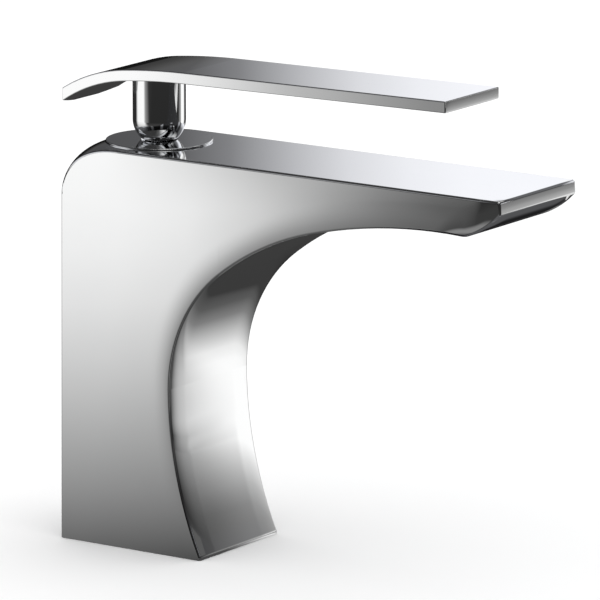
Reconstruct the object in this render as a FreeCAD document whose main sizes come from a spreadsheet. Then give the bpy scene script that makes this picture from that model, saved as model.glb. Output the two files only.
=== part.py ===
import FreeCAD, Part
import math
import os

import Sketcher

# Single-lever basin mixer. Millimetres, +Z up, +X towards the spout.
# The origin is where the cartridge's axis meets the deck that the base stands on.

doc = FreeCAD.newDocument("BasinFaucet")

# Driving dimensions: alias, value, and what it measures.
DIMENSIONS = [
    ("body_width", 45.0, "side face to side face"),
    ("body_height", 133.8, "deck to the flat top"),
    ("rear_x", -24.7, "rear edge of the side faces, at the deck"),
    ("rear_bulge", 6.5, "how far the rear face bows out in plan"),
    ("rear_lean", 1.15, "how far the rear face leans forward by the top"),
    ("rear_top_radius", 17.0, "rounding from the rear face to the top"),
    ("waist_x", 19.7, "front of the column at its narrowest"),
    ("waist_z", 56.2, "height of the narrowest place"),
    ("lower_radius", 132.8, "front of the column below the waist"),
    ("foot_height", 0.5, "upright edge at the front of the base"),
    ("foot_radius", 2.0, "rounding from the upright edge into the front"),
    ("throat_radius", 51.5, "front of the column above the waist"),
    ("throat_end_x", 39.65, "where the throat runs into the middle arc"),
    ("middle_radius", 101.1, "underside between throat and spout"),
    ("middle_end_x", 74.6, "where the middle arc runs into the spout"),
    ("spout_radius", 184.7, "underside of the spout"),
    ("chin_x", 134.8, "lowest edge behind the lip"),
    ("chin_radius", 6.0, "rounding of the chin"),
    ("undercut_radius", 32.0, "slightly full face between chin and lip"),
    ("tip_x", 148.4, "front of the lip"),
    ("lip_height", 4.4, "height of the lip"),
    ("lip_crown", 42.0, "lip's face, which leans back towards the top"),
    ("lip_radius", 1.0, "rounding of the lip's edges"),
    ("edge_radius", 0.8, "rounding of the side faces' edges"),
    ("floor_z", 100.0, "floor of the cartridge chamber"),
    ("chamber_radius", 13.1, "bore around the cartridge"),
    ("thread_z", 123.0, "bottom of the nut's thread"),
    ("thread_radius", 15.0, "bore of the nut's thread"),
    ("recess_depth", 2.0, "recess for the cover ring"),
    ("recess_radius", 17.9, "recess for the cover ring"),
    ("port_x", -4.0, "inlet ports, along the body"),
    ("port_y", 5.2, "inlet ports, to each side"),
    ("port_radius", 2.0, "inlet ports"),
    ("hose_y", 7.3, "hose sockets, to each side"),
    ("hose_radius", 4.5, "hose sockets, M10 x 1"),
    ("hose_depth", 14.0, "hose sockets"),
    ("stud_x", 9.0, "fixing stud's socket, along the body"),
    ("stud_radius", 3.4, "fixing stud's socket, M8"),
    ("stud_depth", 18.0, "fixing stud's socket"),
    ("waterway_start_x", 9.0, "outlet waterway, in the chamber"),
    ("waterway_start_z", 115.0, "outlet waterway, in the chamber"),
    ("waterway_end_x", 124.0, "outlet waterway, above the aerator"),
    ("waterway_end_z", 128.0, "outlet waterway, above the aerator"),
    ("waterway_width", 16.0, "outlet waterway"),
    ("waterway_height", 6.0, "outlet waterway"),
    ("gasket_radius", 19.0, "middle of the base gasket"),
    ("gasket_width", 2.6, "base gasket"),
    ("gasket_depth", 1.8, "groove of the base gasket"),
    ("ring_radius", 17.8, "cover ring"),
    ("ring_rise", 0.6, "cover ring above the body's top"),
    ("ball_rise", 6.8, "lever's pivot above the cover ring"),
    ("post_radius", 8.8, "lever post and its ball foot"),
    ("foot_gap", 0.3, "gap around the ball foot"),
    ("foot_depth", 6.5, "pivot to the bottom of the ball foot"),
    ("foot_opening", 5.2, "opening in the ball foot"),
    ("foot_cavity", 6.4, "hollow of the ball foot"),
    ("shank_size", 7.0, "square shank of the spindle"),
    ("shank_top", 12.2, "pivot to the top of the shank"),
    ("screw_rise", 8.5, "pivot to the grub screw"),
    ("arm_length", 13.0, "pivot to the end of the spindle's arm"),
    ("arm_lean", 10.0, "arm's lean to the rear with the lever down, degrees"),
    ("arm_end_radius", 2.2, "round end of the arm"),
    ("arm_half", 1.5, "half the arm's width"),
    ("blade_thickness", 3.0, "blade of the spindle"),
    ("neck_half", 3.0, "half the width of the spindle at its pivot"),
    ("shank_bottom", 3.9, "pivot to the bottom of the shank"),
    ("pin_radius", 1.25, "pivot pin"),
    ("ear_thickness", 1.4, "ears of the sleeve's fork"),
    ("ear_half", 1.2, "half the ears' width below the pin"),
    ("ear_wall", 0.95, "ears' wall around the pin"),
    ("fork_half", 8.0, "half the length of the fork's gap"),
    ("fork_sink", 2.0, "fork's gap below the sleeve's top"),
    ("play", 0.3, "gap between parts that move past each other"),
    ("seat_gap", 0.1, "gap between parts that sit together"),
    ("fit_gap", 0.05, "gap of a close or running fit"),
    ("rest_gap", 0.02, "gap under a part that rests on another"),
    ("lever_width", 31.5, "lever plate"),
    ("lever_thickness", 3.8, "lever plate"),
    ("lever_tip_x", 123.1, "front of the lever"),
    ("lever_tip_z", 162.4, "top of the lever at its front"),
    ("lever_flat_x", 20.6, "rear end of the lever's flat"),
    ("lever_flat_z", 161.05, "top of the lever at the rear end of its flat"),
    ("lever_bend_radius", 240.0, "lever's gentle bend"),
    ("lever_bend_x", -3.4, "where the gentle bend runs into the tail"),
    ("tail_radius", 60.0, "lever's tail"),
    ("tail_x", -28.1, "tail's corners"),
    ("tail_bulge", 2.6, "how far the tail's end bows out in plan"),
    ("lever_edge", 0.35, "rounding of the lever's edges"),
    ("boss_radius", 6.4, "boss under the lever plate"),
    ("boss_rise", 12.9, "pivot to the bottom of the boss"),
    ("post_rise", 16.6, "pivot to the post's top, inside the plate"),
    ("screw_radius", 2.1, "grub screw"),
    ("screw_key", 1.3, "grub screw's key, across a corner and the middle"),
    ("screw_key_depth", 1.8, "grub screw's key"),
    ("plug_radius", 2.8, "plug over the grub screw"),
    ("plug_depth", 1.4, "plug's seat"),
    ("plug_proud", 0.1, "plug's head above the post"),
    ("plug_edge", 0.5, "rounding of the plug's head"),
    ("aerator_x", 121.0, "aerator's axis"),
    ("aerator_seat_z", 122.4, "flat seat of the aerator's flange"),
    ("aerator_top_z", 128.8, "top of the aerator's socket"),
    ("aerator_radius", 8.3, "aerator's socket"),
    ("aerator_flange", 9.2, "aerator's flange"),
    ("aerator_flange_gap", 0.15, "gap around the aerator's flange"),
    ("aerator_flange_thickness", 0.9, "aerator's flange"),
    ("aerator_wall", 1.3, "aerator housing's wall"),
    ("aerator_head_room", 1.6, "aerator housing's top to the socket's top"),
    ("notch_half", 1.0, "half the width of the fitting key's notch"),
    ("notch_depth", 0.6, "fitting key's notch"),
    ("insert_rise", 0.4, "aerator insert above its housing's mouth"),
    ("flow_hole", 0.75, "aerator insert's holes"),
    ("flow_ring_small", 2.2, "aerator insert's inner ring of holes"),
    ("flow_ring_large", 4.3, "aerator insert's outer ring of holes"),
    ("screen_thickness", 0.4, "aerator screen"),
    ("screen_pitch", 1.7, "aerator screen's holes, middle to middle"),
    ("screen_hole_half", 0.5, "half the width of the screen's holes"),
    ("washer_wall", 1.8, "aerator washer, across its ring"),
    ("peg_x", 7.0, "cartridge's locating pegs, along the body"),
    ("peg_y", 5.0, "cartridge's locating pegs, to each side"),
    ("peg_radius", 1.4, "cartridge's locating pegs"),
    ("peg_length", 2.6, "cartridge's locating pegs"),
    ("peg_clearance", 1.4, "depth below the end of the pegs"),
    ("seal_inner", 2.3, "port seals"),
    ("seal_outer", 3.7, "port seals"),
    ("seal_height", 1.5, "port seals' seats"),
    ("shell_thickness", 2.0, "cartridge housing's wall"),
    ("rim_height", 2.5, "cartridge base's rim"),
    ("base_thickness", 6.3, "cartridge base"),
    ("fixed_thickness", 3.5, "fixed disc"),
    ("moving_thickness", 3.4, "moving disc"),
    ("moving_radius", 7.8, "moving disc"),
    ("relief_radius", 3.0, "hollow under the moving disc"),
    ("relief_depth", 0.8, "hollow under the moving disc"),
    ("driver_thickness", 3.4, "disc driver's plate"),
    ("driver_radius", 8.0, "disc driver's plate"),
    ("drive_peg_y", 5.0, "driver's pegs, to each side"),
    ("drive_peg_radius", 1.2, "driver's pegs"),
    ("drive_peg_length", 1.2, "driver's pegs"),
    ("stalk_wall", 1.3, "driver's stalk, before and behind the arm"),
    ("stalk_cheek", 0.9, "driver's stalk, beside the arm"),
    ("stalk_rise", 0.4, "driver's stalk above the arm's round end"),
    ("slot_drop", 3.0, "arm's end to the floor of the stalk's slot"),
    ("arm_gap", 0.25, "gap before and behind the arm's round end"),
    ("flange_thickness", 3.0, "turning sleeve's flange"),
    ("flange_gap", 0.4, "gap around the turning sleeve's flange"),
    ("glide_thickness", 0.7, "glide ring"),
    ("glide_gap", 0.15, "glide ring's gap around the sleeve"),
    ("lid_thickness", 2.7, "cartridge housing's lid"),
    ("barrel_step", 2.2, "housing's bore to the sleeve's barrel"),
    ("sleeve_drop", 0.5, "sleeve's top below the cover ring"),
    ("sleeve_seal", 0.55, "section of the sleeve's seal"),
    ("sleeve_groove", 1.2, "groove of the sleeve's seal"),
    ("housing_seal", 0.65, "section of the housing's seal"),
    ("housing_groove", 1.45, "groove of the housing's seal"),
    ("window_half", 3.5, "half the width of the housing's outlets"),
    ("nut_gap", 0.7, "nut's gap around the sleeve"),
    ("nut_key_step", 1.6, "nut's hexagonal key, out from its bore"),
    ("nut_key_depth", 3.5, "nut's hexagonal key"),
    ("ring_neck", 5.0, "opening in the cover ring"),
    ("ring_relief", 6.2, "relief under the cover ring"),
    ("ring_relief_low", 0.4, "height of the relief at its edge"),
    ("ring_relief_high", 1.2, "height of the relief at the opening"),
    ("ring_edge", 0.4, "rounding of the cover ring"),
]


class Size:
    """A length with its number and the sheet expression that drives it."""

    def __init__(self, text, value):
        self.text = text
        self.value = value

    def _with(self, sign, other, value):
        text = other.text if isinstance(other, Size) else repr(float(other))
        return Size("(%s %s %s)" % (self.text, sign, text), value)

    def __add__(self, other):
        return self._with("+", other, self.value + number(other))

    def __sub__(self, other):
        return self._with("-", other, self.value - number(other))

    def __mul__(self, other):
        return self._with("*", other, self.value * number(other))

    def __truediv__(self, other):
        return self._with("/", other, self.value / number(other))

    def __neg__(self):
        return self * -1.0


def number(size):
    return size.value if isinstance(size, Size) else float(size)


def as_size(size):
    return size if isinstance(size, Size) else Size(repr(float(size)), float(size))


sheet = doc.addObject("Spreadsheet::Sheet", "Sizes")
dim = {}
for row, (alias, value, meaning) in enumerate(DIMENSIONS, start=1):
    sheet.set("A%d" % row, alias)
    sheet.set("B%d" % row, str(value))
    sheet.set("C%d" % row, meaning)
    sheet.setAlias("B%d" % row, alias)
    dim[alias] = Size("Sizes." + alias, value)
doc.recompute()


# Heights that follow from the driving dimensions.
top_z = dim["body_height"]
recess_z = top_z - dim["recess_depth"]
ring_top_z = top_z + dim["ring_rise"]
pivot_z = ring_top_z + dim["ball_rise"]
half_width = dim["body_width"] / 2
half_lever = dim["lever_width"] / 2
lip_z = top_z - dim["lip_height"]
REACH = 60.0  # long enough for a cut to pass right through a piece
CLEAR = 1.0  # how far a cut runs out past the face that it opens

# Cartridge sizes, up from the chamber's floor.
shell_radius = dim["chamber_radius"] - dim["seat_gap"]
shell_inner = shell_radius - dim["shell_thickness"]
base_bottom = dim["floor_z"] + dim["seat_gap"]
rim_top = base_bottom + dim["rim_height"]
base_top = base_bottom + dim["base_thickness"]
fixed_bottom = base_top + dim["seat_gap"]
fixed_top = fixed_bottom + dim["fixed_thickness"]
moving_bottom = fixed_top + dim["seat_gap"]
moving_top = moving_bottom + dim["moving_thickness"]
driver_top = moving_top + dim["driver_thickness"]
flange_bottom = driver_top + dim["play"]
flange_top = flange_bottom + dim["flange_thickness"]
flange_radius = shell_inner - dim["flange_gap"]
glide_top = flange_top + dim["glide_thickness"]
lid_bottom = glide_top + dim["fit_gap"]
lid_top = lid_bottom + dim["lid_thickness"]
lid_middle = (lid_bottom + lid_top) / 2
sleeve_top = recess_z - dim["sleeve_drop"]
barrel_radius = shell_inner - dim["barrel_step"]
arm_swing = math.radians(dim["arm_lean"].value)
slide_half = dim["arm_length"] * math.sin(arm_swing)
stalk_half = dim["arm_end_radius"] + dim["stalk_wall"]
stalk_thick = dim["blade_thickness"] + dim["stalk_cheek"] * 2
fork_gap = dim["blade_thickness"] + dim["play"] * 2
fork_width = fork_gap + dim["ear_thickness"] * 2

# Lever post and aerator, on their own axes.
post_top = pivot_z + dim["post_rise"]
boss_bottom = pivot_z + dim["boss_rise"]
screw_z = pivot_z + dim["screw_rise"]
plug_seat = dim["post_radius"] - dim["plug_depth"]
aerator_barrel = dim["aerator_radius"] - dim["seat_gap"]
aerator_bore = aerator_barrel - dim["aerator_wall"]
aerator_bottom = dim["aerator_seat_z"] - dim["aerator_flange_thickness"]
barrel_top = dim["aerator_top_z"] - dim["aerator_head_room"]
screen_top = barrel_top - dim["fit_gap"]
screen_bottom = screen_top - dim["screen_thickness"]


# Sketch and feature helpers.

def plane(body, role):
    for feature in body.Origin.OriginFeatures:
        if feature.Role == role:
            return feature
    raise ValueError(role)


def new_body(label):
    body = doc.addObject("PartDesign::Body", label)
    body.Label = label
    return body


def new_sketch(body, role, lift=None):
    """A sketch on one of the body's own planes, moved along the plane's normal by lift."""
    sketch = body.newObject("Sketcher::SketchObject", "Sketch")
    sketch.AttachmentSupport = [(plane(body, role), "")]
    sketch.MapMode = "FlatFace"
    if lift is not None:
        sketch.setExpression("AttachmentOffset.Base.z", as_size(lift).text)
    return sketch


def hold(sketch, kind, *where, size):
    """A dimension on a sketch, driven by the sheet."""
    size = as_size(size)
    index = sketch.addConstraint(Sketcher.Constraint(kind, *where, size.value))
    sketch.setExpression("Constraints[%d]" % index, size.text)


def place(sketch, edge, end, x, y):
    """Holds one end of an edge at x, y."""
    for kind, axis, size in (("DistanceX", -2, x), ("DistanceY", -1, y)):
        if number(size) == 0.0:
            sketch.addConstraint(Sketcher.Constraint("PointOnObject", edge, end, axis))
        else:
            hold(sketch, kind, -1, 1, edge, end, size=size)


def point(x, y):
    return FreeCAD.Vector(number(x), number(y), 0)


def polygon(sketch, corners):
    """A closed outline of straight lines through the corners."""
    first = sketch.GeometryCount
    count = len(corners)
    for i, corner in enumerate(corners):
        sketch.addGeometry(Part.LineSegment(point(*corner), point(*corners[(i + 1) % count])), False)
    for i, corner in enumerate(corners):
        following = first + (i + 1) % count
        sketch.addConstraint(Sketcher.Constraint("Coincident", first + i, 2, following, 1))
        place(sketch, first + i, 1, *corner)


def rectangle(sketch, x0, y0, x1, y1):
    polygon(sketch, [(x0, y0), (x1, y0), (x1, y1), (x0, y1)])


def circle(sketch, x, y, radius):
    edge = sketch.addGeometry(
        Part.Circle(point(x, y), FreeCAD.Vector(0, 0, 1), number(radius)), False)
    place(sketch, edge, 3, x, y)
    hold(sketch, "Radius", edge, size=radius)


def arc_between(sketch, centre, radius, start, end):
    """An arc about a centre, from one angle to another in degrees, counter-clockwise."""
    ring = Part.Circle(FreeCAD.Vector(centre[0], centre[1], 0), FreeCAD.Vector(0, 0, 1), radius)
    return sketch.addGeometry(
        Part.ArcOfCircle(ring, math.radians(start), math.radians(end)), False)


def pad(body, sketch, length, both_ways=False, down=False):
    feature = body.newObject("PartDesign::Pad", "Pad")
    feature.Profile = sketch
    feature.setExpression("Length", as_size(length).text)
    feature.Midplane = both_ways
    feature.Reversed = down
    doc.recompute()
    return feature


def pocket(body, sketch, length, both_ways=False, up=False):
    """A cut along the sketch's normal: against it unless up, and it has to remove something."""
    before = body.Shape.Volume
    feature = body.newObject("PartDesign::Pocket", "Pocket")
    feature.Profile = sketch
    feature.setExpression("Length", as_size(length).text)
    feature.Midplane = both_ways
    feature.Reversed = up
    doc.recompute()
    if body.Shape.Volume > before - 1e-3:
        raise RuntimeError("a cut in %s removes nothing" % body.Label)
    return feature


def turned(body, corners, cut=False):
    """A revolved outline of radius and height corners, added to the body or cut from it."""
    sketch = new_sketch(body, "XZ_Plane")
    polygon(sketch, corners)
    kind = "PartDesign::Groove" if cut else "PartDesign::Revolution"
    before = body.Shape.Volume if cut else 0.0
    feature = body.newObject(kind, "Turned")
    feature.Profile = sketch
    feature.ReferenceAxis = (sketch, ["V_Axis"])
    feature.Angle = 360.0
    doc.recompute()
    if cut and body.Shape.Volume > before - 1e-3:
        raise RuntimeError("a turned cut in %s removes nothing" % body.Label)
    return feature


def ring_piece(label, inner, outer, bottom, top, x=0.0, y=0.0):
    """A plain washer, gasket or bush on a vertical axis at x, y."""
    body = new_body(label)
    turned(body, [(inner, bottom), (outer, bottom), (outer, top), (inner, top)])
    for axis, size in (("x", x), ("y", y)):
        if number(size) != 0.0:
            body.setExpression("Placement.Base." + axis, as_size(size).text)
    return body


def o_ring(label, middle, section, height):
    """A round-section seal on the cartridge's axis."""
    torus = doc.addObject("Part::Torus", label)
    torus.Label = label
    torus.setExpression("Radius1", as_size(middle).text)
    torus.setExpression("Radius2", as_size(section).text)
    torus.setExpression("Placement.Base.z", as_size(height).text)
    return torus


def fillet(body, chosen, radius):
    """Rounds the edges of the body for which chosen(edge) is true."""
    doc.recompute()
    base = body.Tip
    names = ["Edge%d" % (i + 1) for i, edge in enumerate(base.Shape.Edges) if chosen(edge)]
    if not names:
        raise RuntimeError("no edge to round in %s" % body.Label)
    feature = body.newObject("PartDesign::Fillet", "Fillet")
    feature.Base = (base, names)
    feature.setExpression("Radius", as_size(radius).text)
    doc.recompute()
    return feature


def near(a, b):
    return abs(a - number(b)) < 0.02


# Body: the side outline padded across, with the rear bowed out in plan.

def full_arc(sketch, start, end, radius):
    """An arc of the outline that bows out, from start to end counter-clockwise."""
    chord_x = end[0] - start[0]
    chord_z = end[1] - start[1]
    chord = math.hypot(chord_x, chord_z)
    inset = math.sqrt(radius ** 2 - chord ** 2 / 4)
    centre = ((start[0] + end[0]) / 2 - inset * chord_z / chord,
              (start[1] + end[1]) / 2 + inset * chord_x / chord)
    turns = [math.degrees(math.atan2(z - centre[1], x - centre[0])) for x, z in (start, end)]
    return arc_between(sketch, centre, radius, *turns)


def side_outline(body):
    sketch = new_sketch(body, "XZ_Plane")
    far_x = dim["rear_x"] - dim["rear_bulge"] * 2
    waist = (dim["waist_x"].value, dim["waist_z"].value)
    lower = dim["lower_radius"].value
    throat = dim["throat_radius"].value
    middle = dim["middle_radius"].value
    spout = dim["spout_radius"].value
    # each arc's centre lies on the line through the joint and the arc before it
    lower_centre = (waist[0] + lower, waist[1])
    throat_centre = (waist[0] + throat, waist[1])
    throat_turn = math.degrees(math.asin((throat_centre[0] - dim["throat_end_x"].value) / throat))
    step = math.radians(throat_turn)
    middle_centre = (
        throat_centre[0] + (middle - throat) * math.sin(step),
        throat_centre[1] - (middle - throat) * math.cos(step))
    middle_turn = math.degrees(math.asin((middle_centre[0] - dim["middle_end_x"].value) / middle))
    step = math.radians(middle_turn)
    spout_centre = (
        middle_centre[0] + (spout - middle) * math.sin(step),
        middle_centre[1] - (spout - middle) * math.cos(step))
    chin_turn = math.degrees(math.asin((spout_centre[0] - dim["chin_x"].value) / spout))
    foot = dim["foot_radius"].value
    foot_z = dim["foot_height"].value
    base_turn = math.degrees(math.asin((waist[1] - foot_z) / (lower + foot)))
    foot_centre = (lower_centre[0] - (lower + foot) * math.cos(math.radians(base_turn)), foot_z)
    front_x = foot_centre[0] + foot
    chin = (
        dim["chin_x"].value,
        spout_centre[1] + spout * math.cos(math.radians(chin_turn)))
    crown = dim["lip_crown"].value
    lip_bottom = (dim["tip_x"].value, lip_z.value)
    lip_turn = math.degrees(math.asin(dim["lip_height"].value / crown))
    lip_top_x = lip_bottom[0] - crown * (1 - math.cos(math.radians(lip_turn)))

    base_edge = sketch.addGeometry(Part.LineSegment(point(far_x, 0), point(front_x, 0)), False)
    foot_edge = sketch.addGeometry(
        Part.LineSegment(point(front_x, 0), point(front_x, foot_z)), False)
    foot_arc = arc_between(sketch, foot_centre, foot, 0, base_turn)
    lower_arc = arc_between(sketch, lower_centre, lower, 180, 180 + base_turn)
    throat_arc = arc_between(sketch, throat_centre, throat, 90 + throat_turn, 180)
    middle_arc = arc_between(sketch, middle_centre, middle, 90 + middle_turn, 90 + throat_turn)
    spout_arc = arc_between(sketch, spout_centre, spout, 90 + chin_turn, 90 + middle_turn)
    undercut_arc = full_arc(sketch, chin, lip_bottom, dim["undercut_radius"].value)
    lip_arc = arc_between(sketch, (lip_bottom[0] - crown, lip_bottom[1]), crown, 0, lip_turn)
    top_edge = sketch.addGeometry(
        Part.LineSegment(point(lip_top_x, top_z), point(far_x, top_z)), False)
    rear_edge = sketch.addGeometry(Part.LineSegment(point(far_x, top_z), point(far_x, 0)), False)

    for one, end, other, start in (
            (base_edge, 2, foot_edge, 1), (spout_arc, 1, undercut_arc, 1),
            (undercut_arc, 2, lip_arc, 1), (lip_arc, 2, top_edge, 1),
            (top_edge, 2, rear_edge, 1), (rear_edge, 2, base_edge, 1)):
        sketch.addConstraint(Sketcher.Constraint("Coincident", one, end, other, start))
    for one, end, other, start in (
            (foot_edge, 2, foot_arc, 1), (foot_arc, 2, lower_arc, 2), (lower_arc, 1, throat_arc, 2),
            (throat_arc, 1, middle_arc, 2), (middle_arc, 1, spout_arc, 2)):
        sketch.addConstraint(Sketcher.Constraint("Tangent", one, end, other, start))
    place(sketch, base_edge, 1, far_x, 0)
    sketch.addConstraint(Sketcher.Constraint("PointOnObject", base_edge, 2, -1))
    sketch.addConstraint(Sketcher.Constraint("Vertical", foot_edge))
    hold(sketch, "DistanceY", -1, 1, foot_edge, 2, size=dim["foot_height"])
    place(sketch, lower_arc, 1, dim["waist_x"], dim["waist_z"])
    hold(sketch, "DistanceY", -1, 1, lower_arc, 3, size=dim["waist_z"])
    for arc, alias in ((foot_arc, "foot_radius"), (lower_arc, "lower_radius"),
                       (throat_arc, "throat_radius"), (middle_arc, "middle_radius"),
                       (spout_arc, "spout_radius"), (undercut_arc, "undercut_radius"),
                       (lip_arc, "lip_crown")):
        hold(sketch, "Radius", arc, size=dim[alias])
    for arc, alias in ((throat_arc, "throat_end_x"), (middle_arc, "middle_end_x"),
                       (spout_arc, "chin_x")):
        hold(sketch, "DistanceX", -1, 1, arc, 1, size=dim[alias])
    place(sketch, lip_arc, 1, dim["tip_x"], lip_z)
    hold(sketch, "DistanceY", -1, 1, lip_arc, 3, size=lip_z)
    hold(sketch, "DistanceY", -1, 1, lip_arc, 2, size=top_z)
    place(sketch, rear_edge, 1, far_x, top_z)
    return sketch


def bowed_end(body, corner_x, bulge, half, lift=None):
    """A plan outline that leaves an end bowed out towards -X, for a cut through the piece."""
    sketch = new_sketch(body, "XY_Plane", lift)
    radius = (half * half + bulge * bulge) / (bulge * 2)
    wide = half * 2
    far_x = corner_x - half
    spread = math.degrees(math.asin(half.value / radius.value))
    centre = (corner_x.value - bulge.value + radius.value, 0.0)
    bow = arc_between(sketch, centre, radius.value, 180 - spread, 180 + spread)
    corners = [(corner_x, -half), (corner_x, -wide), (far_x, -wide), (far_x, wide),
               (corner_x, wide), (corner_x, half)]
    first = sketch.GeometryCount
    for one, other in zip(corners, corners[1:]):
        sketch.addGeometry(Part.LineSegment(point(*one), point(*other)), False)
    last = sketch.GeometryCount - 1
    for edge in range(first, last):
        sketch.addConstraint(Sketcher.Constraint("Coincident", edge, 2, edge + 1, 1))
    sketch.addConstraint(Sketcher.Constraint("Coincident", last, 2, bow, 1))
    sketch.addConstraint(Sketcher.Constraint("Coincident", bow, 2, first, 1))
    for edge, corner in zip(range(first, last + 1), corners):
        place(sketch, edge, 1, *corner)
    place(sketch, last, 2, *corners[-1])
    hold(sketch, "Radius", bow, size=radius)
    return sketch


def oval_section(body, x, z, width, height):
    """A flat oval across the body, for the cast waterway."""
    sketch = new_sketch(body, "YZ_Plane", x)
    radius = height / 2
    side = (width - height) / 2
    right = arc_between(sketch, (side.value, z.value), radius.value, -90, 90)
    left = arc_between(sketch, (-side.value, z.value), radius.value, 90, 270)
    upper = sketch.addGeometry(
        Part.LineSegment(point(side, z + radius), point(-side, z + radius)), False)
    lower = sketch.addGeometry(
        Part.LineSegment(point(-side, z - radius), point(side, z - radius)), False)
    for one, end, other, start in ((right, 2, upper, 1), (upper, 2, left, 1),
                                   (left, 2, lower, 1), (lower, 2, right, 1)):
        sketch.addConstraint(Sketcher.Constraint("Tangent", one, end, other, start))
    place(sketch, right, 3, side, z)
    hold(sketch, "DistanceX", -1, 1, left, 3, size=-side)
    hold(sketch, "Radius", right, size=radius)
    sketch.addConstraint(Sketcher.Constraint("Horizontal", upper))
    return sketch


def make_body():
    body = new_body("body")
    pad(body, side_outline(body), dim["body_width"], both_ways=True)
    rear = bowed_end(body, dim["rear_x"], dim["rear_bulge"], half_width)
    lean = math.degrees(math.atan(dim["rear_lean"].value / top_z.value))
    rear.AttachmentOffset = FreeCAD.Placement(
        FreeCAD.Vector(), FreeCAD.Rotation(FreeCAD.Vector(0, 1, 0), lean))
    pocket(body, rear, (top_z + REACH) * 2, both_ways=True)
    fillet(body, lambda edge: near(edge.BoundBox.ZMin, top_z)
           and edge.BoundBox.XMax < dim["rear_x"].value + 2, dim["rear_top_radius"])
    across = dim["body_width"].value - 0.1
    fillet(body, lambda edge: edge.BoundBox.YLength > across
           and near(edge.BoundBox.XMin, dim["chin_x"]), dim["chin_radius"])
    fillet(body, lambda edge: edge.BoundBox.YLength > across
           and edge.BoundBox.XMin > dim["tip_x"].value - 1, dim["lip_radius"])
    fillet(body, lambda edge: edge.BoundBox.YLength < 0.01
           and near(abs(edge.BoundBox.YMin), half_width)
           and edge.BoundBox.ZMax > 0.01, dim["edge_radius"])

    # cartridge chamber, nut thread and cover recess, in one stepped bore
    turned(body, [
        (0.0, dim["floor_z"]), (dim["chamber_radius"], dim["floor_z"]),
        (dim["chamber_radius"], dim["thread_z"]), (dim["thread_radius"], dim["thread_z"]),
        (dim["thread_radius"], recess_z), (dim["recess_radius"], recess_z),
        (dim["recess_radius"], top_z + CLEAR), (0.0, top_z + CLEAR)], cut=True)

    # groove of the base gasket
    groove_half = dim["gasket_width"] / 2 + dim["seat_gap"]
    groove_in = dim["gasket_radius"] - groove_half
    groove_out = dim["gasket_radius"] + groove_half
    turned(body, [(groove_in, 0.0), (groove_out, 0.0), (groove_out, dim["gasket_depth"]),
                  (groove_in, dim["gasket_depth"])], cut=True)

    # sockets in the base, for the two hoses and the fixing stud
    hoses = new_sketch(body, "XY_Plane")
    for side in (dim["hose_y"], -dim["hose_y"]):
        circle(hoses, dim["port_x"], side, dim["hose_radius"])
    pocket(body, hoses, dim["hose_depth"], up=True)
    stud = new_sketch(body, "XY_Plane")
    circle(stud, dim["stud_x"], 0.0, dim["stud_radius"])
    pocket(body, stud, dim["stud_depth"], up=True)

    # inlet drillings, from the hose sockets up to the chamber's floor
    inlets = new_sketch(body, "XY_Plane", dim["floor_z"] + CLEAR)
    for side in (dim["port_y"], -dim["port_y"]):
        circle(inlets, dim["port_x"], side, dim["port_radius"])
    pocket(body, inlets, dim["floor_z"] + CLEAR - dim["hose_depth"] / 2)

    # blind holes for the cartridge's two locating pegs
    pegs = new_sketch(body, "XY_Plane", dim["floor_z"])
    for side in (dim["peg_y"], -dim["peg_y"]):
        circle(pegs, dim["peg_x"], side, dim["peg_radius"] + dim["seat_gap"])
    pocket(body, pegs, dim["peg_length"] + dim["peg_clearance"])

    # cast waterway, from the chamber to above the aerator
    sections = [
        oval_section(body, dim["waterway_" + where + "_x"], dim["waterway_" + where + "_z"],
                     dim["waterway_width"], dim["waterway_height"]) for where in ("start", "end")]
    doc.recompute()
    before = body.Shape.Volume
    loft = body.newObject("PartDesign::SubtractiveLoft", "Waterway")
    loft.Profile = sections[0]
    loft.Sections = [sections[1]]
    loft.Ruled = True
    doc.recompute()
    if body.Shape.Volume > before - 1e-3:
        raise RuntimeError("the waterway removes nothing")

    # aerator's socket and its flat seat
    seat = new_sketch(body, "XY_Plane", dim["aerator_seat_z"])
    circle(seat, dim["aerator_x"], 0.0, dim["aerator_flange"] + dim["aerator_flange_gap"])
    pocket(body, seat, REACH)
    socket = new_sketch(body, "XY_Plane", dim["aerator_top_z"])
    circle(socket, dim["aerator_x"], 0.0, dim["aerator_radius"])
    pocket(body, socket, REACH)
    return body


# Cover ring and cartridge.

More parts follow.
